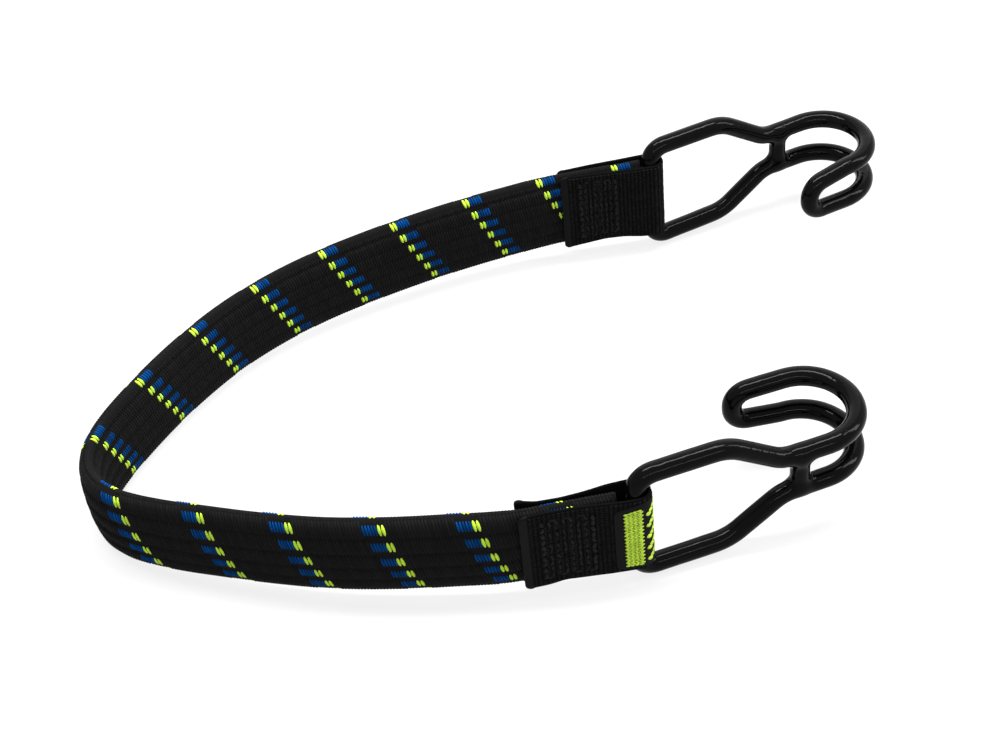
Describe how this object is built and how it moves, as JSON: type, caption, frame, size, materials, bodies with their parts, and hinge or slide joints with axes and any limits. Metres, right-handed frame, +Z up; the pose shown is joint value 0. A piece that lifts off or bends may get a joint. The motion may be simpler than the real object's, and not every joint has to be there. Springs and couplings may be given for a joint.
{
  "type": "flat bungee cord",
  "caption": "Flat woven elastic strap standing in a U, with a coated wire hook swinging in a sewn webbing tab at each end, for strapping down loads.",
  "frame": {"origin": "on the floor, under the middle of the box round the whole cord", "axes": "+X along the legs of the U towards the hooks, +Y from the front leg to the rear leg, +Z up along the strap's width"},
  "size_m": [0.2266, 0.1564, 0.0378],
  "materials": {
    "woven_elastic": "black polyester weave with lime and blue tracer yarns",
    "latex_rubber": "natural latex",
    "black_webbing": "black polyester webbing, heat-sealed edge",
    "sewing_thread": "bonded black thread",
    "label": "woven label, black ground with a plain lime panel",
    "steel_wire": "drawn wire, as welded",
    "dip_coating": "glossy black dip coating"
  },
  "bodies": {
    "strap": {"elastic_jacket": "woven_elastic", "rubber_strand_1": "latex_rubber", "rubber_strand_2": "latex_rubber", "rubber_strand_3": "latex_rubber", "rubber_strand_4": "latex_rubber", "rubber_strand_5": "latex_rubber", "rubber_strand_6": "latex_rubber", "rear_webbing_tab": "black_webbing", "rear_needle_thread": "sewing_thread", "rear_bobbin_thread": "sewing_thread"},
    "front_end": {"front_webbing_tab": "black_webbing", "front_needle_thread": "sewing_thread", "front_bobbin_thread": "sewing_thread", "woven_label": "label"},
    "front_hook": {"front_hook_wire": "steel_wire", "front_hook_cross_bar": "steel_wire", "front_hook_coating": "dip_coating"},
    "rear_hook": {"rear_hook_wire": "steel_wire", "rear_hook_cross_bar": "steel_wire", "rear_hook_coating": "dip_coating"}
  },
  "joints": [
    {"name": "strap_stretch", "type": "slide", "parent": "strap", "child": "front_end", "axis": [0.9956, 0.0841, 0.0416], "range_m": [0, 0.15], "stiffness_N_per_m": 150, "deforming": ["elastic_jacket", "rubber_strand_1", "rubber_strand_2", "rubber_strand_3", "rubber_strand_4", "rubber_strand_5", "rubber_strand_6"]},
    {"name": "front_hook_swing", "type": "hinge", "parent": "front_end", "child": "front_hook", "pos_m": [0.02421, -0.07221, 0.01845], "axis": [-0.0423, 0.0072, 0.9991], "range_deg": [-170, 118]},
    {"name": "rear_hook_swing", "type": "hinge", "parent": "strap", "child": "rear_hook", "pos_m": [0.0463, 0.05709, 0.01846], "axis": [-0.0423, 0.0072, 0.9991], "range_deg": [-145, 146]}
  ]
}
